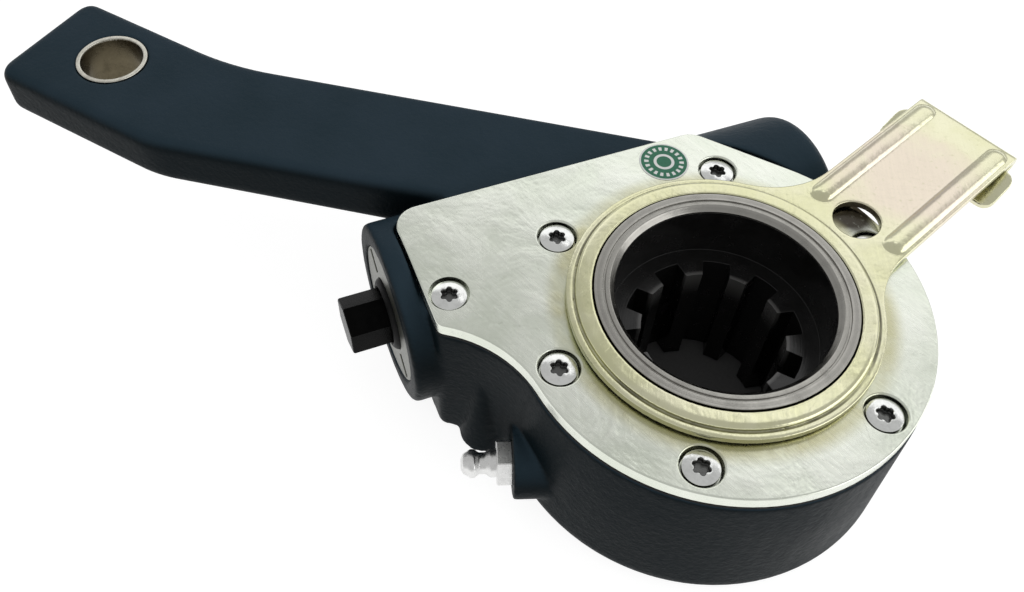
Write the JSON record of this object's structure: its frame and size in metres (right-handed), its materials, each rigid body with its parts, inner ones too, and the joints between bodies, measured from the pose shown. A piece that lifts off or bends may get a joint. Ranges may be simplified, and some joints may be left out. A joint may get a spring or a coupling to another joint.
{
  "type": "brake slack adjuster",
  "caption": "Automatic brake slack adjuster with a bent clevis lever, splined worm wheel, worm barrel with adjusting hex, zinc cover and yellow control arm.",
  "frame": {"origin": "on the camshaft spline's axis, in the plane of the housing's back face", "axes": "+X from the camshaft axis to the clevis hole, +Z along the camshaft axis to the cover"},
  "size_m": [0.2455, 0.1357, 0.049],
  "materials": {
    "painted_casting": "satin blue-black paint over a casting",
    "bush_steel": "turned",
    "zinc_cover": "zinc plated sheet",
    "gasket": "matte",
    "zinc_screws": "zinc plated",
    "bright_nipple": "bright",
    "plug_steel": "zinc plated",
    "rubber": "matte",
    "black_steel": "gloss black oxide",
    "gear_steel": "ground",
    "spring_steel": "oiled",
    "yellow_zinc": "yellow zinc plated",
    "hub_steel": "turned",
    "cage_brass": "pressed"
  },
  "bodies": {
    "housing": {"housing": "painted_casting", "lever_bush": "bush_steel", "cover_plate": "zinc_cover", "cover_gasket": "gasket", "cover_screws": "zinc_screws", "grease_nipple": "bright_nipple", "end_plug": "plug_steel", "plug_o_ring": "rubber", "hex_seal": "rubber", "pinion_washer": "plug_steel", "rear_thrust_washer": "spring_steel", "clutch_spring": "spring_steel"},
    "wheel": {"worm_wheel": "hub_steel", "hub_seal": "rubber", "journal_seal": "rubber"},
    "worm": {"worm_shaft": "black_steel", "clutch_wheel": "gear_steel", "front_thrust_washer": "spring_steel", "thrust_cage": "cage_brass", "thrust_rollers": "spring_steel"},
    "control": {"control_arm": "yellow_zinc", "control_sleeve": "gear_steel", "control_disc": "gear_steel", "control_o_ring": "rubber"},
    "rack": {"rack": "gear_steel"},
    "pinion": {"rack_pinion": "gear_steel", "one_way_spring": "spring_steel"}
  },
  "joints": [
    {"name": "wheel_turn", "type": "hinge", "parent": "housing", "child": "wheel", "pos_m": [0, 0, 0.023], "axis": [0, 0, 1], "continuous": true},
    {"name": "worm_turn", "type": "hinge", "parent": "housing", "child": "worm", "pos_m": [0.0285, -0.02513, 0.023], "axis": [0.6613, 0.7501, 0], "continuous": true},
    {"name": "control_swing", "type": "hinge", "parent": "housing", "child": "control", "pos_m": [0, 0, 0.045], "axis": [0, 0, 1], "range_deg": [-12, 12]},
    {"name": "rack_slide", "type": "slide", "parent": "housing", "child": "rack", "axis": [0.7501, -0.6613, 0], "range_m": [-0.0068, 0.0068]},
    {"name": "pinion_turn", "type": "hinge", "parent": "housing", "child": "pinion", "pos_m": [0.0285, -0.02513, 0.023], "axis": [0.6613, 0.7501, 0], "range_deg": [-29.8, 29.8]}
  ],
  "couplings": [
    {"joint": "worm_turn", "follows": "wheel_turn", "ratio": -28},
    {"joint": "rack_slide", "follows": "control_swing", "m_per_rad": -0.031767},
    {"joint": "pinion_turn", "follows": "control_swing", "ratio": -2.4436}
  ]
}
